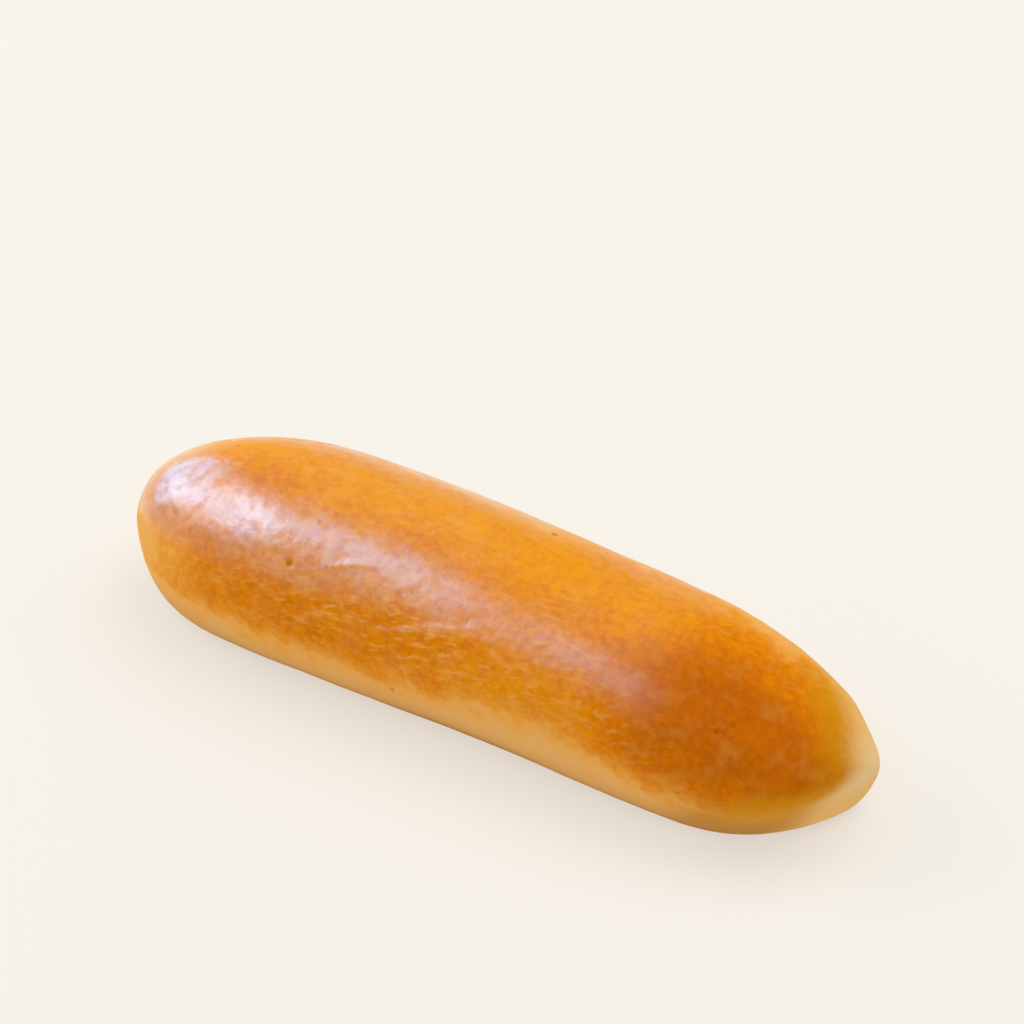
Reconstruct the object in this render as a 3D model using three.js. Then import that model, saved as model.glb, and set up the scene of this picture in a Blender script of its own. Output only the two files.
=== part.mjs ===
// A finger-shaped brioche bun: one soft, oven-baked piece of egg-washed dough.
//
// Frame: millimetres, +Z up. The origin is the middle of the bun's box, on the flat
// underside that it rests on. +X runs along the bun to its tapered, pale end.
//
// The bun is a loft. Each cross-section stands across X and has a domed top and a
// tucked-in underside, which meet at the belly, the widest line. The underside is cut
// level where the dough sat on the baking tray, and the tapered end has flat places
// where it leaned on its neighbours as it rose.

import * as THREE from "three";

// Driving dimensions, in millimetres
const LENGTH = 143.5; // before the tapered end is pressed flat
const WIDTH = 38.4;
const HEIGHT = 33.4;
const BELLY_HEIGHT = 16;
const BLUNT_END_BELLY_HEIGHT = 14.7;
const TAPERED_END_BELLY_HEIGHT = 12;
const BELLY_RUN = 43; // how far from an end the belly line reaches its full height
const UNDERSIDE_DEPTH = 22.4; // from the belly to the bottom of the round, before the level cut
const WAIST_DEPTH = 0.35; // shallow saddle across the middle of the top
const WAIST_RUN = 18;
const SIDEWAYS_BOW = 2.3; // the middle of the bun bows towards +Y

// How far from each end the outline starts to round off, in millimetres
const BLUNT_END = { width: 36.4, top: 39.8, underside: 21.5, power: 2.11 };
const TAPERED_END = { width: 43.2, top: 116, underside: 25, power: 1.86 };

// Flat places pressed into the tapered end. Each is a plane: the heading and tilt of its
// outward direction in degrees, its distance from the middle of the bun, and how softly
// the crust turns into it.
const PRESSED_FLATS = [
  { heading: 41, tilt: 21.7, distance: 55, softness: 1.3 },
  { heading: -18.5, tilt: -15.3, distance: 55.4, softness: 4.9 },
  { heading: -2.6, tilt: 36, distance: 62.5, softness: 4 },
  { heading: -49, tilt: -30.6, distance: 34.8, softness: 6 },
];

// How finely the skin is drawn. Each ring has points over the dome, down each tucked side
// and across the level base.
const RING_COUNT = 56;
const DOME_STEPS = 20;
const TUCK_STEPS = 7;
const BASE_STEPS = 8;
const STEEPEST_BASE_EDGE = 1.3; // radians round the underside, where a section has no level base

// Baked crust: golden brown with a satin egg-wash shine
const CRUST = new THREE.MeshStandardMaterial({
  name: "crust",
  color: new THREE.Color().setStyle("rgb(219, 127, 28)"),
  roughness: 0.42,
  metalness: 0,
});

// A quarter superellipse: 0 at the very end, 1 from `reach` millimetres in.
function roundedEnd(distanceFromEnd, reach, power) {
  const gap = Math.max(1 - distanceFromEnd / reach, 0);
  return (1 - gap ** power) ** (1 / power);
}

function bothEnds(x, quantity) {
  const blunt = roundedEnd(x + LENGTH / 2, BLUNT_END[quantity], BLUNT_END.power);
  const tapered = roundedEnd(LENGTH / 2 - x, TAPERED_END[quantity], TAPERED_END.power);
  return blunt * tapered;
}

function bellyHeight(x) {
  const nearBluntEnd = 1 - THREE.MathUtils.smoothstep(x + LENGTH / 2, 0, BELLY_RUN);
  const nearTaperedEnd = 1 - THREE.MathUtils.smoothstep(LENGTH / 2 - x, 0, BELLY_RUN);
  return (
    BELLY_HEIGHT +
    (BLUNT_END_BELLY_HEIGHT - BELLY_HEIGHT) * nearBluntEnd +
    (TAPERED_END_BELLY_HEIGHT - BELLY_HEIGHT) * nearTaperedEnd
  );
}

// The cross-section at x, as the numbers that its round is drawn from. `baseEdge` is the
// angle below the belly at which the tucked side meets the level base.
function crossSection(x) {
  const belly = bellyHeight(x);
  const waist = WAIST_DEPTH * Math.exp(-((x / WAIST_RUN) ** 2));
  const underside = UNDERSIDE_DEPTH * bothEnds(x, "underside");
  const reachesBase = underside * Math.sin(STEEPEST_BASE_EDGE) > belly;
  return {
    belly,
    underside,
    halfWidth: (WIDTH / 2) * bothEnds(x, "width"),
    dome: (HEIGHT - belly - waist) * bothEnds(x, "top"),
    middle: SIDEWAYS_BOW * (1 - ((2 * x) / LENGTH) ** 2),
    baseEdge: reachesBase ? Math.asin(belly / underside) : STEEPEST_BASE_EDGE,
  };
}

// Evenly spaced values from `start` up to, but not including, `end`.
function spread(start, end, steps) {
  return Array.from({ length: steps }, (_, step) => start + ((end - start) * step) / steps);
}

// The angles of one ring's points, from the +Y belly over the top and back underneath.
function anglesAround(section) {
  const { baseEdge } = section;
  return [
    ...spread(0, Math.PI, DOME_STEPS),
    ...spread(Math.PI, Math.PI + baseEdge, TUCK_STEPS),
    ...spread(Math.PI + baseEdge, 2 * Math.PI - baseEdge, BASE_STEPS),
    ...spread(2 * Math.PI - baseEdge, 2 * Math.PI, TUCK_STEPS),
  ];
}

// The value, but never below 0, with a soft bend of that size where it meets 0.
function softFloor(value, softness) {
  if (value > softness) {
    return value;
  }
  return value < -softness ? 0 : (value + softness) ** 2 / (4 * softness);
}

// Moves a point that lies outside a pressed flat back onto it, with a soft edge.
function pressFlat(point, flat) {
  const heading = THREE.MathUtils.degToRad(flat.heading);
  const tilt = THREE.MathUtils.degToRad(flat.tilt);
  const outward = new THREE.Vector3(
    Math.cos(tilt) * Math.cos(heading),
    Math.cos(tilt) * Math.sin(heading),
    Math.sin(tilt),
  );
  const beyond = point.dot(outward) - flat.distance;
  point.addScaledVector(outward, -softFloor(beyond, flat.softness));
}

function crustPoint(x, section, angle) {
  const rise = Math.sin(angle);
  const reachUpOrDown = rise > 0 ? section.dome : section.underside;
  const point = new THREE.Vector3(
    x,
    section.middle + section.halfWidth * Math.cos(angle),
    section.belly + reachUpOrDown * rise,
  );
  point.z = Math.max(point.z, 0);
  PRESSED_FLATS.forEach((flat) => pressFlat(point, flat));
  point.z = Math.max(point.z, 0);
  return point;
}

// The points of one ring. `along` runs from 0 at the blunt end to 1 at the tapered end,
// and the rings crowd together towards the ends.
function ringPoints(along) {
  const x = (-LENGTH / 2) * Math.cos(Math.PI * along);
  const section = crossSection(x);
  return anglesAround(section).map((angle) => crustPoint(x, section, angle));
}

// One closed skin: rings across the bun, and a single point at each end.
function loftedBun() {
  const points = [ringPoints(0)[0]];
  for (let ring = 1; ring < RING_COUNT; ring += 1) {
    points.push(...ringPoints(ring / RING_COUNT));
  }
  points.push(ringPoints(1)[0]);

  const pointsPerRing = DOME_STEPS + BASE_STEPS + 2 * TUCK_STEPS;
  const firstPoint = 0;
  const lastPoint = points.length - 1;
  const ringPoint = (ring, step) => 1 + (ring - 1) * pointsPerRing + (step % pointsPerRing);
  const triangles = [];
  for (let step = 0; step < pointsPerRing; step += 1) {
    const next = step + 1;
    triangles.push(firstPoint, ringPoint(1, next), ringPoint(1, step));
    for (let ring = 1; ring < RING_COUNT - 1; ring += 1) {
      const here = ringPoint(ring, step);
      const beside = ringPoint(ring, next);
      const ahead = ringPoint(ring + 1, step);
      const across = ringPoint(ring + 1, next);
      triangles.push(here, across, ahead, here, beside, across);
    }
    triangles.push(lastPoint, ringPoint(RING_COUNT - 1, step), ringPoint(RING_COUNT - 1, next));
  }

  const geometry = new THREE.BufferGeometry().setFromPoints(points);
  geometry.setIndex(triangles);
  return geometry;
}

// Puts the middle of the bun's plan over the origin. The base is already at z = 0.
function centreInPlan(geometry) {
  geometry.computeBoundingBox();
  const middle = geometry.boundingBox.getCenter(new THREE.Vector3());
  geometry.translate(-middle.x, -middle.y, 0);
}

const bunGeometry = loftedBun();
centreInPlan(bunGeometry);
bunGeometry.computeVertexNormals();

const bun = new THREE.Mesh(bunGeometry, CRUST);
bun.name = "brioche_bun";

const part = new THREE.Group();
part.add(bun);

export default part;
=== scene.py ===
"""A finger-shaped brioche bun with a glossy egg-washed crust, as one finely modelled piece.

The bun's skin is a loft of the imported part's shape, with the crust's relief over it. Values
worked out at each of its points say how the crust baked there, and one material turns them into
colour and gloss. Lengths are millimetres in the shape, relief and baking functions, and metres
wherever Blender is told about them. +X runs along the bun to its pale tapered end, -Y is the
near side that the camera sees, and +Z is up from the flat underside.
"""

import math
from functools import reduce

import bpy
import numpy as np
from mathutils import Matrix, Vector


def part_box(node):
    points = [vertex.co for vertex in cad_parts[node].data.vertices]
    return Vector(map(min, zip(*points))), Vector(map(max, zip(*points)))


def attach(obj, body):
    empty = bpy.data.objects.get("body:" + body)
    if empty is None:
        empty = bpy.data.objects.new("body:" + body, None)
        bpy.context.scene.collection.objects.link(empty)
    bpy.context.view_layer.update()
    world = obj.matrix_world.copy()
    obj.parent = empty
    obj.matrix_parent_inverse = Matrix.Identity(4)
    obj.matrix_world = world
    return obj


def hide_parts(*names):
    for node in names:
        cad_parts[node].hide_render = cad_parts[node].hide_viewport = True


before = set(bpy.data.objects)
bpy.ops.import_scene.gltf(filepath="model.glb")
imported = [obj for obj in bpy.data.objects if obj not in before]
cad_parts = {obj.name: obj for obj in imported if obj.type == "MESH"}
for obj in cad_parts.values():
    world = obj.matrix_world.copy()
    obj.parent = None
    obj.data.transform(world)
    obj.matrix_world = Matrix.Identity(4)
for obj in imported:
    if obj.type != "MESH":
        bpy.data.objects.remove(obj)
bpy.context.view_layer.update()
NODE = "brioche_bun"
MM = 0.001


# ---------------------------------------------------------------- driving dimensions
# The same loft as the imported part, in millimetres, but with a rounded edge to its base.

LENGTH = 143.5  # before the tapered end is pressed flat
WIDTH = 38.4
HEIGHT = 33.4
BELLY_HEIGHT = 16
BLUNT_END_BELLY_HEIGHT = 14.7
TAPERED_END_BELLY_HEIGHT = 12
BELLY_RUN = 43
UNDERSIDE_DEPTH = 22.4
WAIST_DEPTH = 0.35
WAIST_RUN = 18
SIDEWAYS_BOW = 2.3
BASE_EDGE_SOFTNESS = 4.1

BLUNT_END = {"width": 36.4, "top": 39.8, "underside": 21.5, "power": 2.11}
TAPERED_END = {"width": 43.2, "top": 116, "underside": 25, "power": 1.86}

# Flat places pressed into the tapered end: heading, tilt, distance from the middle, softness.
PRESSED_FLATS = [
    (41, 21.7, 55, 1.3),
    (-18.5, -15.3, 55.4, 4.9),
    (-2.6, 36, 62.5, 4),
    (-49, -30.6, 34.8, 6),
]

# How finely the skin is divided: rings along the bun, and steps round each ring.
RING_COUNT = 385
DOME_STEPS = 134
TUCK_STEPS = 48
BASE_STEPS = 22
BASE_EDGE_ANGLE = 1.1  # radians below the belly, about where the tucked side meets the base
PATH_SAMPLES = 4000  # points along the side that the spacing of the rings is measured over


# ---------------------------------------------------------------- small maths

NOISE_CELLS = 256  # the noise repeats after this many lumps


def smooth_step(value, low, high):
    """0 below low, 1 above high, and an S-curve between."""
    share = np.clip((value - low) / (high - low), 0, 1)
    return share * share * (3 - 2 * share)


def bell(value, width):
    """1 at 0, falling away smoothly over about width on each side."""
    return np.exp(-((value / width) ** 2))


def smooth_floor(value, softness):
    """The value, but never below 0, with a soft bend of that size where it meets 0."""
    bend = (value + softness) ** 2 / (4 * softness)
    return np.where(value > softness, value, np.where(value < -softness, 0, bend))


def smooth_max(first, second, softness):
    """The larger of the two, with a soft bend of that size where they are equal."""
    bend = np.clip(softness - np.abs(first - second), 0, None) ** 2 / (4 * softness)
    return np.maximum(first, second) + bend


def noise(points, size, seed):
    """Smooth noise from about -1 to 1, with lumps about size across. size may differ by axis."""
    random = np.random.default_rng(seed)
    slopes = random.normal(size=(NOISE_CELLS, 3))
    shuffle = random.permutation(NOISE_CELLS)
    scaled = points / np.asarray(size)
    cell = np.floor(scaled).astype(int)
    inside = scaled - cell
    fade = inside**3 * (inside * (inside * 6 - 15) + 10)
    total = np.zeros(len(points))
    for corner in np.ndindex(2, 2, 2):
        at = cell + corner
        index = shuffle[at[:, 0] % NOISE_CELLS]
        index = shuffle[(index + at[:, 1]) % NOISE_CELLS]
        index = shuffle[(index + at[:, 2]) % NOISE_CELLS]
        height = ((inside - corner) * slopes[index]).sum(axis=1)
        weight = np.where(corner, fade, 1 - fade).prod(axis=1)
        total += weight * height
    return total


def srgb(red, green, blue):
    """A screen colour, 0 to 255, as the linear colour that shaders take."""
    shares = [value / 255 for value in (red, green, blue)]
    linear = [s / 12.92 if s <= 0.04045 else ((s + 0.055) / 1.055) ** 2.4 for s in shares]
    return (*linear, 1)


# ---------------------------------------------------------------- the bun's shape


def rounded_end(distance, reach, power):
    """A quarter superellipse: 0 at the very end, 1 from reach inwards."""
    gap = np.clip(1 - distance / reach, 0, 1)
    return (1 - gap**power) ** (1 / power)


def both_ends(x, quantity):
    """How far the section has grown at x, from 0 at either end to 1, in one quantity."""
    blunt = rounded_end(x + LENGTH / 2, BLUNT_END[quantity], BLUNT_END["power"])
    tapered = rounded_end(LENGTH / 2 - x, TAPERED_END[quantity], TAPERED_END["power"])
    return blunt * tapered


def belly_height(x):
    """The height of the widest line, which sinks towards both ends."""
    near_blunt = 1 - smooth_step(x + LENGTH / 2, 0, BELLY_RUN)
    near_tapered = 1 - smooth_step(LENGTH / 2 - x, 0, BELLY_RUN)
    return (
        BELLY_HEIGHT
        + (BLUNT_END_BELLY_HEIGHT - BELLY_HEIGHT) * near_blunt
        + (TAPERED_END_BELLY_HEIGHT - BELLY_HEIGHT) * near_tapered
    )


def press_flats(points):
    """Moves points that lie outside a pressed flat back onto it, with a soft edge."""
    for heading, tilt, distance, softness in PRESSED_FLATS:
        heading, tilt = math.radians(heading), math.radians(tilt)
        outward = np.array(
            [math.cos(tilt) * math.cos(heading), math.cos(tilt) * math.sin(heading), math.sin(tilt)]
        )
        beyond = points @ outward - distance
        points = points - smooth_floor(beyond, softness)[:, None] * outward
    return points


def crust_points(x, angle):
    """Points on the smooth bun. angle is 0 at the +Y belly and a quarter turn at the top."""
    belly = belly_height(x)
    dome = (HEIGHT - belly - WAIST_DEPTH * bell(x, WAIST_RUN)) * both_ends(x, "top")
    underside = UNDERSIDE_DEPTH * both_ends(x, "underside")
    middle = SIDEWAYS_BOW * (1 - (2 * x / LENGTH) ** 2)
    rise = np.sin(angle)
    y = middle + WIDTH / 2 * both_ends(x, "width") * np.cos(angle)
    z = belly + np.where(rise > 0, dome, underside) * rise
    points = np.stack([x, y, smooth_floor(z, BASE_EDGE_SOFTNESS)], axis=1)
    points = press_flats(points)
    points[:, 2] = np.maximum(points[:, 2], 0)
    return points


def ring_places():
    """The x of each ring, spaced evenly over the curve of the side and not over the length."""
    turn = np.linspace(0, math.pi, PATH_SAMPLES)
    x = -LENGTH / 2 * np.cos(turn)
    side = crust_points(x, np.full_like(x, math.pi))
    travelled = np.append(0, np.cumsum(np.linalg.norm(np.diff(side, axis=0), axis=1)))
    return np.interp(np.linspace(0, travelled[-1], RING_COUNT + 1), travelled, x)


def ring_angles():
    """The angles of one ring's points, from the middle of the underside round to it again."""
    bottom = 1.5 * math.pi
    edge = math.pi + BASE_EDGE_ANGLE
    return np.concatenate(
        [
            np.linspace(-math.pi / 2, -BASE_EDGE_ANGLE, BASE_STEPS // 2, endpoint=False),
            np.linspace(-BASE_EDGE_ANGLE, 0, TUCK_STEPS, endpoint=False),
            np.linspace(0, math.pi, DOME_STEPS, endpoint=False),
            np.linspace(math.pi, edge, TUCK_STEPS, endpoint=False),
            np.linspace(edge, bottom, BASE_STEPS // 2, endpoint=False),
        ]
    )


# ---------------------------------------------------------------- relief in the crust

TOP_ANGLE = math.pi / 2
MEAN_RADIUS = 18  # turns an angle round the bun into a distance over the crust

# Pits left by burst bubbles: place along, degrees round, width and depth in millimetres.
PORES = [
    (-31, 143, 0.7, 0.14),
    (-24.4, 138, 0.4, 0.08),
    (-23.3, 137, 0.35, 0.08),
    (-22.1, 135.5, 0.35, 0.06),
    (-29.1, 117, 0.4, 0.08),
    (49.6, 125, 0.55, 0.14),
    (47.6, 133, 0.6, 0.16),
    (51.3, 145, 0.5, 0.12),
    (-10, 197, 0.5, 0.14),
    (-8.8, 199, 0.4, 0.1),
    (44, 187, 0.45, 0.12),
    (5, 60, 0.6, 0.16),
    (-40, 48, 0.5, 0.14),
    (28, 20, 0.55, 0.16),
    (-52, 79, 0.4, 0.1),
]
PORE_RIM = (0.22, 1.6, 0.6)  # its height as a share of the depth, its place and width in widths

# Raised wrinkles: start and end (place along, degrees round), height and half width.
WRINKLES = [
    ((-36.3, 148), (-25.3, 143), 0.12, 0.5),
    ((-32.7, 151.5), (-26.5, 147.5), 0.1, 0.45),
    ((-25, 140), (-16.6, 127), 0.14, 0.5),
    ((-22.4, 100), (-14.9, 92.5), 0.12, 0.5),
    ((-31.2, 169), (-24.4, 174), 0.11, 0.45),
    ((-13.4, 159), (-7, 152.5), 0.12, 0.45),
    ((-8.8, 154), (-0.8, 146.5), 0.15, 0.5),
    ((-1.5, 146), (8, 140), 0.14, 0.45),
    ((-6, 149), (4.5, 138), 0.13, 0.45),
    ((9.5, 151), (15.7, 147), 0.13, 0.45),
    ((14, 134), (17.2, 126), 0.12, 0.45),
    ((14.9, 142), (21.8, 139), 0.12, 0.45),
    ((-11.4, 180), (-7.4, 166), 0.1, 0.45),
    ((20, 162), (29, 164), 0.1, 0.45),
]
WRINKLE_RISES = (-0.15, 0.2)  # where it starts and is full, as shares of its length
WRINKLE_FALLS = (0.8, 1.15)
WRINKLE_WAVER = (0.4, 5, 51)  # how far the lines bend, the size of the bends, and their seed
WAVER_ALONG = 0.4  # the share of the bending that moves the lines along the bun as well

# Unevenness: how high, the size of the lumps along, across and up, and the seed.
SWELLS = [
    (0.34, (30, 17, 17), 11),
    (0.15, (12, 7, 7), 12),
]
GRAIN = (0.03, 1.4, 61)

# Nets of thin raised lines: how high, the size of a mesh, the seed, and how thin the lines are.
SHOULDER_NET = (0.045, (7, 1.7, 1.7), 21, 4)
CROSSWAYS_NET = (0.02, (1.7, 5, 5), 31, 4)
FINE_NET = (0.015, (2.8, 2.2, 2.2), 41, 5)
NET_BEND = 0.5  # how far a net's lines bend, as a share of the narrowest side of a mesh

# Where the nets show: millimetres round from the top towards the near side, and the spread.
SHOULDERS = [(20, 6), (-20, 7)]
CROSSWAYS_PLACE = (14, 6)

# Where along the bun each net fades in or out.
NETS_START = (-56, -36)
NETS_END = (47, 67)
FINE_NET_ENDS = (22, 40)

RELIEF_STARTS = (0.2, 3)  # heights over the base between which the relief fades in


def over_crust(x, angle):
    """Flat coordinates on the crust in millimetres: along the bun, and round from the top."""
    return np.stack([x, (angle - TOP_ANGLE) * MEAN_RADIUS], axis=-1)


def pores(x, angle):
    """How deep each point is sunk by the pits, with a slight rim round each."""
    place = over_crust(x, angle)
    rim_height, rim_place, rim_width = PORE_RIM
    depth = np.zeros(len(x))
    for along, degrees, width, sink in PORES:
        away = np.linalg.norm(place - over_crust(along, math.radians(degrees)), axis=1)
        rim = rim_height * bell(away - rim_place * width, rim_width * width)
        depth += sink * (bell(away, width) - rim)
    return depth


def long_wrinkles(points, x, angle):
    """How far each point is raised by the drawn wrinkles, whose lines waver."""
    amount, size, seed = WRINKLE_WAVER
    waver = amount * noise(points, size, seed)
    place = over_crust(x, angle) + np.stack([WAVER_ALONG * waver, waver], axis=1)
    lift = np.zeros(len(x))
    for start, end, height, half_width in WRINKLES:
        start = over_crust(start[0], math.radians(start[1]))
        end = over_crust(end[0], math.radians(end[1]))
        line = end - start
        share = ((place - start) @ line) / (line @ line)
        nearest = start + np.clip(share, 0, 1)[:, None] * line
        away = np.linalg.norm(place - nearest, axis=1)
        fade = smooth_step(share, *WRINKLE_RISES) * (1 - smooth_step(share, *WRINKLE_FALLS))
        lift += height * fade * bell(away, half_width)
    return lift


def thin_lines(points, height, size, seed, thinness):
    """A net of wandering lines, height on a line and 0 between: where the noise crosses 0."""
    bends = [noise(points, np.max(size), seed + turn) for turn in (1, 2, 3)]
    bent = points + NET_BEND * np.min(size) * np.stack(bends, axis=1)
    return height * np.clip(1 - thinness * np.abs(noise(bent, size, seed)), 0, 1) ** 2


def relief(points, x, angle):
    """How far the crust stands out from the smooth bun, its lines and its pits, in millimetres."""
    swell = sum(height * noise(points, size, seed) for height, size, seed in SWELLS)

    from_top = (angle - TOP_ANGLE) * MEAN_RADIUS
    away_from_ends = smooth_step(x, *NETS_START) * (1 - smooth_step(x, *NETS_END))
    on_shoulders = sum(bell(from_top - middle, spread) for middle, spread in SHOULDERS)
    on_crossways_place = bell(from_top - CROSSWAYS_PLACE[0], CROSSWAYS_PLACE[1])
    lines = thin_lines(points, *SHOULDER_NET) * on_shoulders * away_from_ends
    lines += thin_lines(points, *CROSSWAYS_NET) * on_crossways_place * away_from_ends
    lines += thin_lines(points, *FINE_NET) * (1 - smooth_step(x, *FINE_NET_ENDS))
    lines += long_wrinkles(points, x, angle)

    sunk = pores(x, angle)
    height, size, seed = GRAIN
    return swell + lines - sunk + height * noise(points, size, seed), lines, sunk


# ---------------------------------------------------------------- the bun's mesh


def skin_grid():
    """Place along and angle round for each point of the skin, and the place of each ring.

    The first point is the blunt end and the last is the tapered end. The rings lie between.
    """
    angles = ring_angles()
    rings = ring_places()[1:-1]
    x = np.concatenate([[-LENGTH / 2], np.repeat(rings, len(angles)), [LENGTH / 2]])
    angle = np.concatenate([[TOP_ANGLE], np.tile(angles, len(rings)), [TOP_ANGLE]])
    return x, angle, rings


def skin_mesh(name, points, ring_count):
    """A closed skin over the grid's points: squares between rings, and a fan over each end."""
    per_ring = len(ring_angles())
    last = len(points) - 1
    ring, step = np.meshgrid(np.arange(ring_count - 1), np.arange(per_ring), indexing="ij")
    here = (1 + ring * per_ring + step).ravel()
    beside = (1 + ring * per_ring + (step + 1) % per_ring).ravel()
    quads = np.stack([here, beside, beside + per_ring, here + per_ring], axis=1)
    first_ring = 1 + np.arange(per_ring)
    last_ring = first_ring + (ring_count - 1) * per_ring
    blunt_fan = [(0, int(b), int(a)) for a, b in zip(first_ring, np.roll(first_ring, -1))]
    tapered_fan = [(last, int(a), int(b)) for a, b in zip(last_ring, np.roll(last_ring, -1))]

    mesh = bpy.data.meshes.new(name)
    mesh.from_pydata(points * MM, [], quads.tolist() + blunt_fan + tapered_fan)
    mesh.shade_smooth()
    return mesh


def add_uv(mesh, rings):
    """Lays the skin out as one rectangle: along the bun, and round it from the underside."""
    per_ring = len(ring_angles())
    ring_share = (rings + LENGTH / 2) / LENGTH
    layer = mesh.uv_layers.new(name="OFBake")
    for polygon in mesh.polygons:
        corners = [mesh.loops[loop].vertex_index for loop in polygon.loop_indices]
        steps = [(corner - 1) % per_ring for corner in corners]
        wraps = max(steps) - min(steps) > per_ring / 2
        for loop, corner, step in zip(polygon.loop_indices, corners, steps):
            if wraps and step == 0:
                step = per_ring
            if corner == 0:
                spot = (0, (steps[1] + 0.5) / per_ring)
            elif corner == len(mesh.vertices) - 1:
                spot = (1, (steps[1] + 0.5) / per_ring)
            else:
                spot = (ring_share[(corner - 1) // per_ring], step / per_ring)
            layer.data[loop].uv = spot


def add_attribute(mesh, name, values):
    """Stores one value for each point, which the material reads by this name."""
    attribute = mesh.attributes.new(name, "FLOAT", "POINT")
    attribute.data.foreach_set("value", np.asarray(values, dtype=np.float32))


def points_of(mesh):
    """The mesh's points in millimetres."""
    points = np.empty(len(mesh.vertices) * 3, np.float32)
    mesh.vertices.foreach_get("co", points)
    return points.reshape(-1, 3).astype(float) / MM


def normals_of(mesh):
    """The way the mesh faces at each point."""
    normals = np.empty(len(mesh.vertices) * 3, np.float32)
    mesh.vertex_normals.foreach_get("vector", normals)
    return normals.reshape(-1, 3).astype(float)


def make_bun():
    """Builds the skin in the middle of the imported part's box, with its relief and zones."""
    low, high = (np.array(corner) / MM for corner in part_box(NODE))
    x, angle, rings = skin_grid()
    smooth = crust_points(x, angle)
    place = (low + high) / 2 - (smooth.min(axis=0) + smooth.max(axis=0)) / 2
    place[2] = 0

    mesh = skin_mesh("bun_skin", smooth + place, len(rings))
    points, outward = points_of(mesh), normals_of(mesh)
    x = x + place[0]
    height, lines, sunk = relief(points, x, angle)
    height *= smooth_step(points[:, 2], *RELIEF_STARTS)
    raised = points + outward * height[:, None]
    raised[:, 2] = np.maximum(raised[:, 2], 0)
    mesh.vertices.foreach_set("co", (raised * MM).astype(np.float32).ravel())
    mesh.update()

    add_uv(mesh, rings)
    add_attribute(mesh, "wrinkle", lines)
    # How deep each point is sunk, which the material darkens as painted shade in the pits.
    add_attribute(mesh, "pit_shade", sunk)
    add_zones(mesh, raised, outward, angle, lines, sunk)
    bun = bpy.data.objects.new("bun_crust", mesh)
    bpy.context.scene.collection.objects.link(bun)
    return bun


# ---------------------------------------------------------------- how the crust baked
# "Along" is millimetres along the bun from its middle, and "round" is degrees round it, from 0
# at the far belly over the top to 180 at the near one. A pair like (12, 46) is where something
# starts and where it is complete, counted towards the blunt end for what lies there. A patch is
# its middle and its spread.

RAGGED = [(1, 9, 71), (0.8, 4, 72), (0.5, 2, 73)]  # what roughens edges: amount, size, seed
CRUMBLY = (0.4, 1.1, 74)  # the finer roughness of the pale tip's edge

# The egg wash stops near the tip, at a slanted plane above and at a low line on the near side.
TIP_PLANE = np.array((0.81, 0.48, 0.37))
TIP_PLANE_DISTANCE = 59.9
TIP_LOW_LINE = 9  # height, which rises towards the very end and drops away from it
TIP_LOW_LINE_RISE = (3.3, (48, 62))
TIP_LOW_LINE_DROP = (7, (38, 56))
TIP_CORNER_SOFTNESS = 5
TIP_SHRINK = 0.2
TIP_EDGE = (-2.2, 2.6)  # millimetres past the line
TIP_SHADED_ON_NEAR_SIDE = (0.85, (3, 12))  # how much weaker the pale tip is there, a painted shade that lets the darker tints show, and where
OLIVE_EDGE = (-7, -1)
NOSE = np.array((68, 1.5, 12.5))  # the middle of the palest place on the very end: pale dough with a painted highlight
NOSE_SIZE = 8

LIT_SIDE = np.array((-0.31, -0.46, 0.83))  # the way the blunt end's brightest highlight faces, which its painted shade and sheen follow

# Brownness is 0 where the crust is golden and 1 where it is deep brown, and it also holds a painted
# shade where the blunt end faces the window light.
BROWN_TOP = 0.1
BROWN_SIDES = 0.33
BROWN_BLOTCHES = (0.12, 11, 81)
GOLDEN_TOP = (73, (12, 45))  # round, and how far to either side of it the sides begin
BROWN_TIP = (0.62, (12, 46))
DEEP_SIDE = (128, 55)  # round: the side of the tapered end that browned most
DEEP_SIDE_SHARE = 0.75  # how much less the other sides of that end browned
SHADE_ON_LIT_BLUNT_END = (0.34, (-58, 20), (0.72, 0.97))  # painted shade: amount, patch along, facing LIT_SIDE
BROWN_PATCHES = [  # amount, patch along, patch round
    (0.2, (47, 10), (88, 24)),
    (-0.16, (31, 9), (88, 26)),
    (0.13, (-10, 20), (150, 18)),
    (-0.28, (14, 16), (162, 24)),
]

# The pale sides, where the next bun or the tray kept the egg wash off. Their paleness also carries
# a painted reflection along the far rim and a painted sheen over the blunt end.
PALE_LINE = 10  # height
PALE_LINE_SOFTNESS = 7
PALE_LINE_BULGE = (4.4, (15, 17))
PALE_LINE_DROP = (3, (34, 58))
PALE_LINE_RAGGED = 1.4
FAR_SIDE_EDGE = 0.43  # how far sideways the crust faces where the far side's paleness starts
FAR_SIDE_SOFTNESS = 0.56
FAR_SIDE_RAGGED = 0.09
FAR_SIDE_BULGE = (0.21, (2, 22))  # this and the next two bring the paleness further up, partly as a painted reflection along the far rim
FAR_SIDE_BLUNT_END = (0.26, (40, 60))
FAR_SIDE_TIP = (0.24, (24, 42))
FAR_SIDE_STRENGTH = 0.84
FAR_SIDE_BLOTCHES = (0.2, 12, 91)
# A painted sheen over the blunt end, strongest round its rim: amount, and where along.
SHEEN_ON_BLUNT_END = (0.56, (42, 67))
SHEEN_ON_BLUNT_END_GAP = (0.8, (0.75, 0.97))  # how much weaker the painted sheen is where it faces LIT_SIDE
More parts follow.
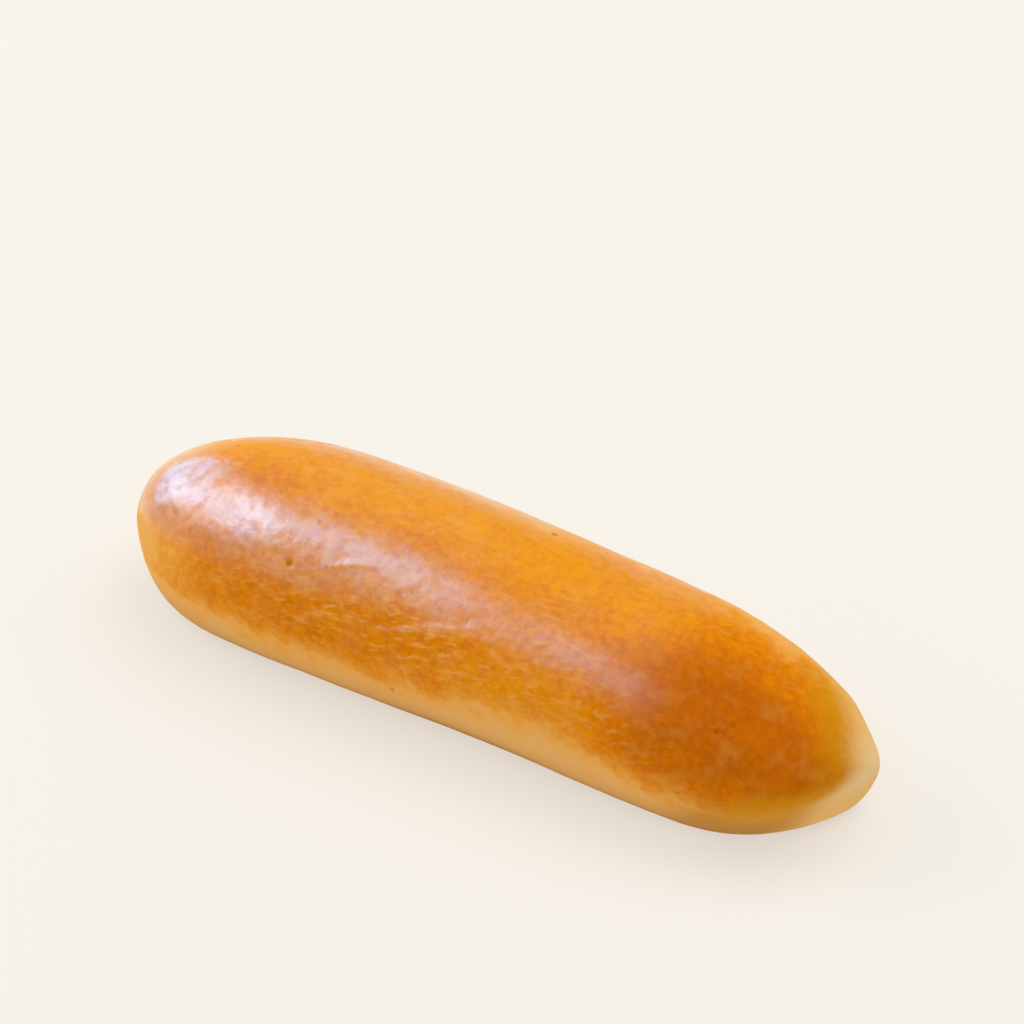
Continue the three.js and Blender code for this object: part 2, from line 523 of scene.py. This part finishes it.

# The egg wash: a thin coat on top, a thick streak down the near shoulder, and none low down.
THIN_WASH = 0.32
THICK_WASH = 0.68
STREAK_TOP = 102  # round
STREAK_TOP_AT_BLUNT_END = (22, (40, 58))
STREAK_TOP_TOWARDS_TIP = (5, (-10, 10))
STREAK_TOP_SOFTNESS = 20
STREAK_BOTTOM = 138
STREAK_BOTTOM_AT_BLUNT_END = (9, (8, 34))
STREAK_BOTTOM_SOFTNESS = 14
STREAK_BOTTOM_RAGGED = 3
WASH_ROUND_BLUNT_END = (50, 62)
WASH_ON_FAR_SIDE = (0.66, (58, 80))  # round, and it fades towards the top
WASH_UPWARDS = (0.1, 0.45)  # how far upwards the crust faces
WASH_ON_WRINKLES = (0.8, (0.05, 0.16))
WASH_ON_WRINKLES_ENDS = (158, 172)
WASH_THINS = (0.52, (-14, 8))
WASH_ENDS = (28, 41)
WASH_GAPS = [(0.26, (-48, 6)), (0.26, (9, 7))]
WASH_OFF_PITS = (0.9, (0, 0.06))

# Where the crust takes on a pattern or a tint: ranges, and patches along and round.
TIP_LINE_RAGGED = 0.8
NOSE_STRENGTH = 0.9
NOSE_RAGGED = 1.1
OLIVE_OFF_PALE_SIDES = 0.85
UNDERSIDE_FACES = (0.6, 0.95)  # how far downwards the crust faces
# Painted shade, darker low on the sides and where they tuck under.
SHADE_NEAR_BASE = (0.45, (2, 13))  # height
SHADE_TUCKED_UNDER = (0.7, (0.4, 0.75))
SHADE_ALONG = (34, 54)
SHADE_ROUND = (178, 208)
WOVEN_ALONG = (-6, 44)
WOVEN_ROUND = (160, 22)
THREADS_END = (14, 38)
STREAKED_ALONG = (6, 26)


def patch(value, middle, spread):
    """1 in the middle of a patch, falling away smoothly to its edges."""
    return bell(value - middle, spread)


def past_tip_line(points):
    """How far each point lies past the line where the egg wash stops, in millimetres."""
    x, z = points[:, 0], points[:, 2]
    past_plane = points @ TIP_PLANE - TIP_PLANE_DISTANCE
    rise, rise_range = TIP_LOW_LINE_RISE
    drop, drop_range = TIP_LOW_LINE_DROP
    low_line = TIP_LOW_LINE + rise * smooth_step(x, *rise_range)
    low_line -= drop * (1 - smooth_step(x, *drop_range))
    return smooth_max(past_plane, low_line - z, TIP_CORNER_SOFTNESS) - TIP_SHRINK


def how_browned_and_shaded(points, outward, degrees):
    """0 where the crust is golden and 1 where it is deep brown, with a painted shade where the
    blunt end faces LIT_SIDE.
    """
    x = points[:, 0]
    golden_line, golden_range = GOLDEN_TOP
    browned_and_shaded = BROWN_TOP + BROWN_SIDES * smooth_step(np.abs(degrees - golden_line), *golden_range)

    amount, tip_range = BROWN_TIP
    deep_side = 1 - DEEP_SIDE_SHARE * (1 - patch(degrees, *DEEP_SIDE))
    browned_and_shaded += amount * smooth_step(x, *tip_range) * deep_side

    # Painted shade: darker where the blunt end faces the window light, under its highlight.
    amount, along, lit_range = SHADE_ON_LIT_BLUNT_END
    browned_and_shaded += amount * patch(x, *along) * smooth_step(outward @ LIT_SIDE, *lit_range)

    for amount, along, around in BROWN_PATCHES:
        browned_and_shaded += amount * patch(x, *along) * patch(degrees, *around)
    amount, size, seed = BROWN_BLOTCHES
    return browned_and_shaded + amount * noise(points, size, seed)


def how_unwashed_and_sheened(points, outward, ragged):
    """1 on the pale sides and 0 where the egg wash reached, with a painted reflection along the far
    rim and a painted sheen over the blunt end.
    """
    x, z = points[:, 0], points[:, 2]
    bulge, along = PALE_LINE_BULGE
    drop, drop_range = PALE_LINE_DROP
    pale_line = PALE_LINE + bulge * patch(x, *along) - drop * smooth_step(x, *drop_range)
    above_line = z + PALE_LINE_RAGGED * ragged - pale_line
    low_band = 1 - smooth_step(above_line, -PALE_LINE_SOFTNESS, PALE_LINE_SOFTNESS)

    # The far side is partly unwashed crust and partly a painted reflection along its rim.
    bulge, along = FAR_SIDE_BULGE
    at_blunt_end, blunt_range = FAR_SIDE_BLUNT_END
    at_tip, tip_range = FAR_SIDE_TIP
    edge = FAR_SIDE_EDGE - bulge * patch(x, *along)
    edge -= at_blunt_end * smooth_step(-x, *blunt_range) + at_tip * smooth_step(x, *tip_range)
    sideways = outward[:, 1] + FAR_SIDE_RAGGED * ragged
    amount, size, seed = FAR_SIDE_BLOTCHES
    far_side = smooth_step(sideways, edge, edge + FAR_SIDE_SOFTNESS)
    far_side *= FAR_SIDE_STRENGTH + amount * noise(points, size, seed)

    # The painted sheen over the blunt end, weaker where it faces LIT_SIDE.
    amount, blunt_range = SHEEN_ON_BLUNT_END
    gap, lit_range = SHEEN_ON_BLUNT_END_GAP
    blunt_end_sheen = amount * smooth_step(-x, *blunt_range)
    blunt_end_sheen *= 1 - gap * smooth_step(outward @ LIT_SIDE, *lit_range)
    return np.maximum(np.maximum(low_band, far_side), blunt_end_sheen)


def how_glossy(points, outward, degrees, ragged, lines, sunk):
    """1 where the egg wash lies thick, and 0 where there is none."""
    x = points[:, 0]
    at_blunt_end, blunt_range = STREAK_TOP_AT_BLUNT_END
    towards_tip, tip_range = STREAK_TOP_TOWARDS_TIP
    top = STREAK_TOP - at_blunt_end * smooth_step(-x, *blunt_range)
    top += towards_tip * smooth_step(x, *tip_range)
    streak = smooth_step(degrees, top, top + STREAK_TOP_SOFTNESS)
    thick = THICK_WASH * np.maximum(streak, smooth_step(-x, *WASH_ROUND_BLUNT_END))
    amount, far_range = WASH_ON_FAR_SIDE
    far_side = amount * (1 - smooth_step(degrees, *far_range))
    gloss = THIN_WASH + np.maximum(far_side, thick)
    gloss *= smooth_step(outward[:, 2], *WASH_UPWARDS)

    at_blunt_end, blunt_range = STREAK_BOTTOM_AT_BLUNT_END
    bottom = STREAK_BOTTOM + at_blunt_end * smooth_step(-x, *blunt_range)
    below = degrees + STREAK_BOTTOM_RAGGED * ragged - bottom
    gloss *= 1 - smooth_step(below, 0, STREAK_BOTTOM_SOFTNESS)

    amount, line_range = WASH_ON_WRINKLES
    on_wrinkles = amount * smooth_step(lines, *line_range)
    on_wrinkles *= 1 - smooth_step(degrees, *WASH_ON_WRINKLES_ENDS)
    gloss = np.maximum(gloss, on_wrinkles)

    amount, thins_range = WASH_THINS
    gloss *= (1 - amount * smooth_step(x, *thins_range)) * (1 - smooth_step(x, *WASH_ENDS))
    gloss *= 1 - sum(amount * patch(x, *along) for amount, along in WASH_GAPS)
    amount, depth_range = WASH_OFF_PITS
    return gloss * (1 - amount * smooth_step(sunk, *depth_range))


def add_zones(mesh, points, outward, angle, lines, sunk):
    """Writes how each place on the crust baked, as 0 to 1 values that the material reads."""
    x, y, z = points.T
    degrees = np.degrees(angle)
    ragged = sum(amount * noise(points, size, seed) for amount, size, seed in RAGGED)
    amount, size, seed = CRUMBLY
    past_line = past_tip_line(points) + TIP_LINE_RAGGED * ragged
    past_line += amount * noise(points, size, seed)
    # The pale tip is weaker on the near side, as painted shade.
    weaker, near_range = TIP_SHADED_ON_NEAR_SIDE
    cream = smooth_step(past_line, *TIP_EDGE) * (1 - weaker * smooth_step(-y, *near_range))
    from_nose = np.linalg.norm(points - NOSE, axis=1) + NOSE_RAGGED * ragged
    unwashed_and_sheen = how_unwashed_and_sheened(points, outward, ragged)
    gloss = how_glossy(points, outward, degrees, ragged, lines, sunk)
    downwards = -outward[:, 2]
    # Painted shade low on the sides and under the tucked side.
    amount, height_range = SHADE_NEAR_BASE
    shade_near_base = amount * (1 - smooth_step(z, *height_range))
    amount, downwards_range = SHADE_TUCKED_UNDER
    shade_tucked_under = amount * smooth_step(downwards, *downwards_range)
    for name, values in {
        "under": smooth_step(downwards, *UNDERSIDE_FACES),
        # The pale sides, with the painted rim reflection and the painted sheen on the blunt end.
        "flank_and_sheen": unwashed_and_sheen * (1 - cream),
        "cream": cream,
        # The palest place on the very end, lightened further by a painted highlight.
        "nose_and_highlight": NOSE_STRENGTH * (1 - smooth_step(from_nose, 0, NOSE_SIZE)),
        "olive": smooth_step(past_line, *OLIVE_EDGE) * (1 - OLIVE_OFF_PALE_SIDES * unwashed_and_sheen),
        "shade": smooth_step(x, *SHADE_ALONG) * smooth_step(degrees, *SHADE_ROUND),
        "woven": patch(degrees, *WOVEN_ROUND) * patch(x, *WOVEN_ALONG),
        "threaded": 1 - smooth_step(x, *THREADS_END),
        "browned_and_shaded": how_browned_and_shaded(points, outward, degrees),
        "gloss": gloss * (1 - cream),
        "streaked": patch(x, *STREAKED_ALONG),
        # Painted shade, darker low down and where the side tucks under.
        "edge": shade_near_base + shade_tucked_under,
    }.items():
        add_attribute(mesh, name, np.clip(values, 0, 1))


# ---------------------------------------------------------------- nodes


class Nodes:
    """A short way to write a shader's nodes. Every method but add and feed returns an output."""

    def __init__(self, material):
        material.use_nodes = True
        self.tree = material.node_tree
        self.tree.nodes.clear()

    def add(self, kind, settings=None, **inputs):
        """Adds a node of any kind, sets and feeds it, and returns the node itself."""
        node = self.tree.nodes.new(kind)
        for name, value in (settings or {}).items():
            setattr(node, name, value)
        for name, value in inputs.items():
            self.feed(node.inputs[name.replace("_", " ")], value)
        return node

    def feed(self, socket, value):
        """Links the value if it is another node's output, and otherwise sets it."""
        if isinstance(value, bpy.types.NodeSocket):
            self.tree.links.new(value, socket)
        else:
            socket.default_value = value

    def attribute(self, name):
        """A value that was stored at each of the mesh's points."""
        return self.add("ShaderNodeAttribute", {"attribute_name": name}).outputs["Fac"]

    def maths(self, operation, *values):
        """One sum over the values, such as ADD."""
        node = self.tree.nodes.new("ShaderNodeMath")
        node.operation = operation
        for socket, value in zip(node.inputs, values):
            self.feed(socket, value)
        return node.outputs[0]

    def total(self, *values):
        """The sum of any number of values."""
        return reduce(lambda first, second: self.maths("ADD", first, second), values)

    def product(self, *values):
        """All the values multiplied together."""
        return reduce(lambda first, second: self.maths("MULTIPLY", first, second), values)

    def ramp(self, value, low, high, to_low=0.0, to_high=1.0):
        """Maps low..high straight to to_low..to_high, and no further."""
        return self.fit(value, low, high, to_low, to_high, "LINEAR")

    def fit(self, value, low, high, to_low=0.0, to_high=1.0, curve="SMOOTHSTEP"):
        """Maps low..high to to_low..to_high with an S-curve, and no further."""
        node = self.add("ShaderNodeMapRange", {"interpolation_type": curve})
        for name, number in (
            ("Value", value),
            ("From Min", low),
            ("From Max", high),
            ("To Min", to_low),
            ("To Max", to_high),
        ):
            self.feed(node.inputs[name], number)
        return node.outputs["Result"]

    def mix(self, share, first, second):
        """The first colour where the share is 0, and the second where it is 1."""
        node = self.tree.nodes.new("ShaderNodeMix")
        node.data_type = "RGBA"
        self.feed(node.inputs[0], share)
        self.feed(node.inputs[6], first)
        self.feed(node.inputs[7], second)
        return node.outputs[2]

    def stretched(self, where, scale):
        """Places in which a pattern is stretched along each axis whose scale is under 1."""
        return self.add("ShaderNodeMapping", Vector=where, Scale=scale).outputs[0]

    def noise(self, where, size, detail=2.0, roughness=0.5, distortion=0.0):
        """A noise about 0.5, with lumps about size millimetres across."""
        node = self.add(
            "ShaderNodeTexNoise",
            Vector=where,
            Scale=1 / (size * MM),
            Detail=detail,
            Roughness=roughness,
            Distortion=distortion,
        )
        return node.outputs["Fac"]

    def lines(self, where, size, width):
        """Thin wandering lines, 1 on a line and 0 between: where a noise crosses its middle."""
        value = self.noise(where, size, detail=1.0, roughness=0.4, distortion=0.6)
        away = self.maths("ABSOLUTE", self.maths("SUBTRACT", value, 0.5))
        return self.fit(away, 0, width, 1, 0)


# ---------------------------------------------------------------- the crust's material

GOLDEN = srgb(240, 156, 2)
PALE_LINES = srgb(242, 172, 88)
TRAY_LIGHT = srgb(200, 134, 64)
TRAY_DARK = srgb(168, 100, 40)

# What the crust turns to as it browns and takes painted shade, and as it loses its wash and takes
# painted sheen: the range, and the colour.
BROWNING = [
    ((0, 0.5), srgb(228, 130, 0)),
    ((0.45, 1.1), srgb(192, 94, 0)),
]
PALING = [
    ((0, 0.5), srgb(245, 171, 68)),
    ((0.3, 0.9), srgb(240, 184, 108)),
]

# Tints laid over that in this order: the stored value, its range, the strength and the colour.
TINTS = [
    # Painted shade in the pits.
    ("pit_shade", (0.01, 0.12), 0.5, srgb(150, 74, 0)),
    # Painted shade low on the sides and under the tucked side.
    ("edge", (0, 1), 0.8, srgb(158, 104, 44)),
    ("shade", (0, 1), 0.75, srgb(172, 110, 34)),
    ("olive", (0, 1), 0.7, srgb(214, 146, 10)),
]
TIP_TINTS = [
    ("cream", srgb(242, 194, 118)),
    # The palest dough on the very end, with a painted highlight.
    ("nose_and_highlight", srgb(240, 208, 160)),
]

# What one value does to another: its range, and what that range becomes.
BLOTCHES_BROWN = (0.25, 0.75, -0.16, 0.16)
MOTTLE_BROWNS = (0.25, 0.75, -0.2, 0.2)
BROWN_HIDES_MOTTLE = (0.5, 0.9, 1, 0.5)
BROWN_HIDES_PALE_LINES = (0.5, 1, 1, 0.3)
WRINKLES_PALE = (0.03, 0.18, 0, 0.3)
BLOTCHES_PALE = (0.25, 0.75, -0.12, 0.12)
MOTTLE_PALES = (0.3, 0.7, 1.15, 0.85)
MOTTLE_DARKENS_TRAY_SIDE = (0.35, 0.65)
RAGGED_COAT = (0.32, 0.55, 0.6, 1)

# The small patterns: how they are stretched, and the part of a noise's range that shows.
STRETCHED_ALONG = (0.28, 1, 1)
STRETCHED_ROUND = (1, 0.3, 0.3)
SLANT = (0, 0.3, 0)  # radians about each axis
STRETCHED_ON_SLANT = (0.3, 1, 1)
THREADED_PATCHES = (0.42, 0.6)
DASHES = (0.52, 0.72)

# How pale the fine patterns are.
THREADS_PALE = 0.3
CURLS_PALE = 0.08
WEAVE_PALE = 0.7

# Heights of the bumps that are too fine for the mesh, in millimetres.
SPECK_BUMP = 0.012
RAGGED_BUMP = 0.06
STREAK_BUMP = 0.05
THREAD_BUMP = 0.004

BARE_ROUGHNESS = 0.67
WASHED_ROUGHNESS = 0.42
BREAD_SPECULAR = 0.03
COAT_IOR = 2.2
COAT_ROUGHNESS = 0.28


def crust_patterns(nodes):
    """The small patterns in the crust, by name. Their sizes are millimetres."""
    where = nodes.add("ShaderNodeTexCoord").outputs["Object"]
    along = nodes.stretched(where, STRETCHED_ALONG)
    across = nodes.stretched(where, STRETCHED_ROUND)
    tilted = nodes.add("ShaderNodeMapping", Vector=where, Rotation=SLANT).outputs[0]
    slanted = nodes.stretched(tilted, STRETCHED_ON_SLANT)
    threaded_patches = nodes.fit(nodes.noise(where, size=7, detail=1), *THREADED_PATCHES)
    dashes = nodes.noise(slanted, size=0.85, detail=1, roughness=0.4, distortion=0.5)
    return {
        "blotches": nodes.noise(where, size=4),
        "mottle": nodes.noise(where, size=1.3, detail=3, roughness=0.6),
        "threads": nodes.product(nodes.lines(along, size=1.9, width=0.1), threaded_patches),
        "curls": nodes.lines(where, size=2.6, width=0.08),
        "dashes": nodes.fit(dashes, *DASHES),
        "strokes": nodes.noise(across, size=0.8),
        "ragged": nodes.noise(where, size=2.4, roughness=0.45),
        "specks": nodes.noise(where, size=0.45),
    }


def shown_brownness_and_shade(nodes, patterns):
    """How brown the crust looks: as it baked, with the painted shade on the blunt end, blotches and
    a mottle.
    """
    blotches = nodes.fit(patterns["blotches"], *BLOTCHES_BROWN)
    browned_and_shaded = nodes.total(nodes.attribute("browned_and_shaded"), blotches)
    mottle = nodes.fit(patterns["mottle"], *MOTTLE_BROWNS)
    return nodes.total(browned_and_shaded, nodes.product(mottle, nodes.fit(browned_and_shaded, *BROWN_HIDES_MOTTLE)))


def shown_pale_lines(nodes, patterns, browned_and_shaded):
    """How pale the fine lines are: threads, curls and wrinkles, and a weave on one shoulder."""
    fine = nodes.total(
        nodes.product(patterns["threads"], THREADS_PALE),
        nodes.product(patterns["curls"], CURLS_PALE),
        nodes.fit(nodes.attribute("wrinkle"), *WRINKLES_PALE),
    )
    weave = nodes.product(patterns["dashes"], nodes.attribute("woven"), WEAVE_PALE)
    lines = nodes.total(nodes.product(fine, nodes.attribute("threaded")), weave)
    return nodes.product(lines, nodes.fit(browned_and_shaded, *BROWN_HIDES_PALE_LINES))


def shown_paleness(nodes, patterns):
    """How much the crust looks as though the egg wash missed it, with the painted sheen and rim
    reflection in that, and blotches and a mottle.
    """
    blotches = nodes.fit(patterns["blotches"], *BLOTCHES_PALE)
    unwashed_and_sheen = nodes.total(nodes.attribute("flank_and_sheen"), blotches)
    return nodes.product(unwashed_and_sheen, nodes.fit(patterns["mottle"], *MOTTLE_PALES))


def crust_colour(nodes, patterns):
    """The colour of the bread under the wash."""

    def turned(colour, value, steps):
        """The colour, changed by each of the steps as the value passes its range."""
        for (low, high), next_colour in steps:
            colour = nodes.mix(nodes.ramp(value, low, high), colour, next_colour)
        return colour

    browned_and_shaded = shown_brownness_and_shade(nodes, patterns)
    colour = turned(GOLDEN, browned_and_shaded, BROWNING)
    colour = nodes.mix(shown_pale_lines(nodes, patterns, browned_and_shaded), colour, PALE_LINES)
    colour = turned(colour, shown_paleness(nodes, patterns), PALING)
    for name, (low, high), strength, tint in TINTS:
        share = nodes.fit(nodes.attribute(name), low, high, 0, strength)
        colour = nodes.mix(share, colour, tint)
    for name, tint in TIP_TINTS:
        colour = nodes.mix(nodes.attribute(name), colour, tint)
    darkened = nodes.fit(patterns["mottle"], *MOTTLE_DARKENS_TRAY_SIDE)
    tray_side = nodes.mix(darkened, TRAY_LIGHT, TRAY_DARK)
    return nodes.mix(nodes.attribute("under"), colour, tray_side)


def crust_normal(nodes, patterns):
    """The way the crust faces, with the bumps that are too fine for the mesh."""
    streaks = nodes.product(patterns["strokes"], nodes.attribute("streaked"))
    height = nodes.total(
        nodes.product(patterns["specks"], SPECK_BUMP),
        nodes.product(patterns["ragged"], RAGGED_BUMP),
        nodes.product(streaks, STREAK_BUMP),
        nodes.product(patterns["threads"], THREAD_BUMP),
    )
    return nodes.add("ShaderNodeBump", Height=height, Distance=MM, Strength=1.0).outputs[0]


def crust_material():
    """Bread with the egg wash as a clear coat, which is thinner in ragged places."""
    material = bpy.data.materials.new("egg_washed_crust")
    nodes = Nodes(material)
    patterns = crust_patterns(nodes)
    gloss = nodes.attribute("gloss")
    normal = crust_normal(nodes, patterns)
    shader = nodes.add(
        "ShaderNodeBsdfPrincipled",
        Base_Color=crust_colour(nodes, patterns),
        Roughness=nodes.ramp(gloss, 0, 1, BARE_ROUGHNESS, WASHED_ROUGHNESS),
        Normal=normal,
        Specular_IOR_Level=BREAD_SPECULAR,
        Coat_Weight=nodes.product(gloss, nodes.fit(patterns["ragged"], *RAGGED_COAT)),
        Coat_IOR=COAT_IOR,
        Coat_Roughness=COAT_ROUGHNESS,
        Coat_Normal=normal,
    )
    nodes.add("ShaderNodeOutputMaterial", Surface=shader.outputs[0])
    return material


# ---------------------------------------------------------------- camera, light and floor

CAMERA_HEADING = 30.07  # degrees from square-on, towards the tapered end
CAMERA_ELEVATION = 41.11
CAMERA_DISTANCE = 0.8  # metres
CAMERA_LENS = 168.2  # millimetres
CAMERA_NEAREST = 0.01
AIM_RIGHT = 0.00221  # how far the picture's middle is from the bun's, in metres
AIM_UP = 0.0207
AIM_HEIGHT = 0.012

LAMP_DISTANCE = 1.2
WORLD_LIGHT = 0.6
WARM = (1.0, 0.985, 0.975)
COOL = (0.08, 0.52, 1.0)

# Soft panels: name, heading, elevation, size in metres, radiance. The panes of the window
# show only in reflections.
LAMPS = [
    ("window", -80, 35, (0.9, 0.9), 2.1),
    ("overhead", 150, 62, (1.0, 1.0), 1.8),
]
WINDOW_PANES = [
    ("low_pane", -103, 13, (0.85, 0.8), 4.5),
    ("middle_pane", -68, 43, (0.85, 0.6), 4.6),
    ("high_pane", -42, 69, (0.6, 0.45), 2.8),
]

PALE = srgb(247, 243, 234)
FLOOR_REACH = 3.0  # metres from its middle to each side
FLOOR_DROP = 0.0002  # metres under the bun, so that the two don't lie in the same plane
FLOOR_GLOW = 0.63  # lit from below like a light table, which keeps the shadow faint
FLOOR_COLOUR = srgb(158, 157, 155)


def direction(heading, elevation):
    """A unit vector. Heading 0 points along -Y and 90 along +X, in degrees."""
    heading, elevation = math.radians(heading), math.radians(elevation)
    level = math.cos(elevation)
    return Vector((math.sin(heading) * level, -math.cos(heading) * level, math.sin(elevation)))


def look(towards_viewer):
    """The rotation of a camera or lamp that looks back along that direction, level."""
    return towards_viewer.to_track_quat("Z", "Y")


def make_camera(middle):
    """Looks down at the bun's near side and its tapered end, and aims a little off its middle."""
    back = direction(CAMERA_HEADING, CAMERA_ELEVATION)
    turn = look(back)
    target = middle + turn @ Vector((AIM_RIGHT, AIM_UP, 0))
    camera = bpy.data.objects.new("camera", bpy.data.cameras.new("camera"))
    camera.data.lens = CAMERA_LENS
    camera.data.clip_start = CAMERA_NEAREST
    camera.location = target + back * CAMERA_DISTANCE
    camera.rotation_euler = turn.to_euler()
    bpy.context.scene.collection.objects.link(camera)
    bpy.context.scene.camera = camera


def make_lamp(name, heading, elevation, size, radiance, middle, colour, reflected_only=False):
    """A soft panel that faces the middle. At radiance 1 it looks as bright as white paper."""
    data = bpy.data.lights.new(name, "AREA")
    data.shape = "RECTANGLE"
    data.size, data.size_y = size
    data.energy = radiance * math.pi * size[0] * size[1]
    data.color = colour
    lamp = bpy.data.objects.new(name, data)
    away = direction(heading, elevation)
    lamp.location = middle + away * LAMP_DISTANCE
    lamp.rotation_euler = look(away).to_euler()
    lamp.visible_diffuse = not reflected_only
    bpy.context.scene.collection.objects.link(lamp)


def make_world():
    """Pale all round. It lights the bun less than the floor does, so that the bun has shape."""
    world = bpy.data.worlds.new("studio")
    world.use_nodes = True
    nodes = Nodes(world)
    seen = nodes.add("ShaderNodeLightPath").outputs["Is Camera Ray"]
    strength = nodes.fit(seen, 0, 1, WORLD_LIGHT, 1)
    background = nodes.add("ShaderNodeBackground", Color=PALE, Strength=strength)
    nodes.add("ShaderNodeOutputWorld", Surface=background.outputs[0])
    bpy.context.scene.world = world


def make_floor():
    """A pale floor that glows slightly."""
    reach = FLOOR_REACH
    corners = [(-reach, -reach, 0), (reach, -reach, 0), (reach, reach, 0), (-reach, reach, 0)]
    mesh = bpy.data.meshes.new("floor")
    mesh.from_pydata(corners, [], [(0, 1, 2, 3)])
    material = bpy.data.materials.new("pale_floor")
    nodes = Nodes(material)
    shader = nodes.add(
        "ShaderNodeBsdfPrincipled",
        Base_Color=FLOOR_COLOUR,
        Roughness=1.0,
        Specular_IOR_Level=0.0,
        Emission_Color=PALE,
        Emission_Strength=FLOOR_GLOW,
    )
    nodes.add("ShaderNodeOutputMaterial", Surface=shader.outputs[0])
    mesh.materials.append(material)
    floor = bpy.data.objects.new("floor", mesh)
    floor.location.z = -FLOOR_DROP
    bpy.context.scene.collection.objects.link(floor)


# ---------------------------------------------------------------- the scene

low, high = (Vector(corner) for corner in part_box(NODE))
bun_middle = Vector(((low.x + high.x) / 2, (low.y + high.y) / 2, AIM_HEIGHT))
make_camera(bun_middle)
make_world()
make_floor()
for lamp in LAMPS:
    make_lamp(*lamp, bun_middle, WARM)
for pane in WINDOW_PANES:
    make_lamp(*pane, bun_middle, COOL, reflected_only=True)
bpy.context.scene.view_settings.view_transform = "Standard"

bun = make_bun()
bun.data.materials.append(crust_material())
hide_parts(NODE)
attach(bun, "root")
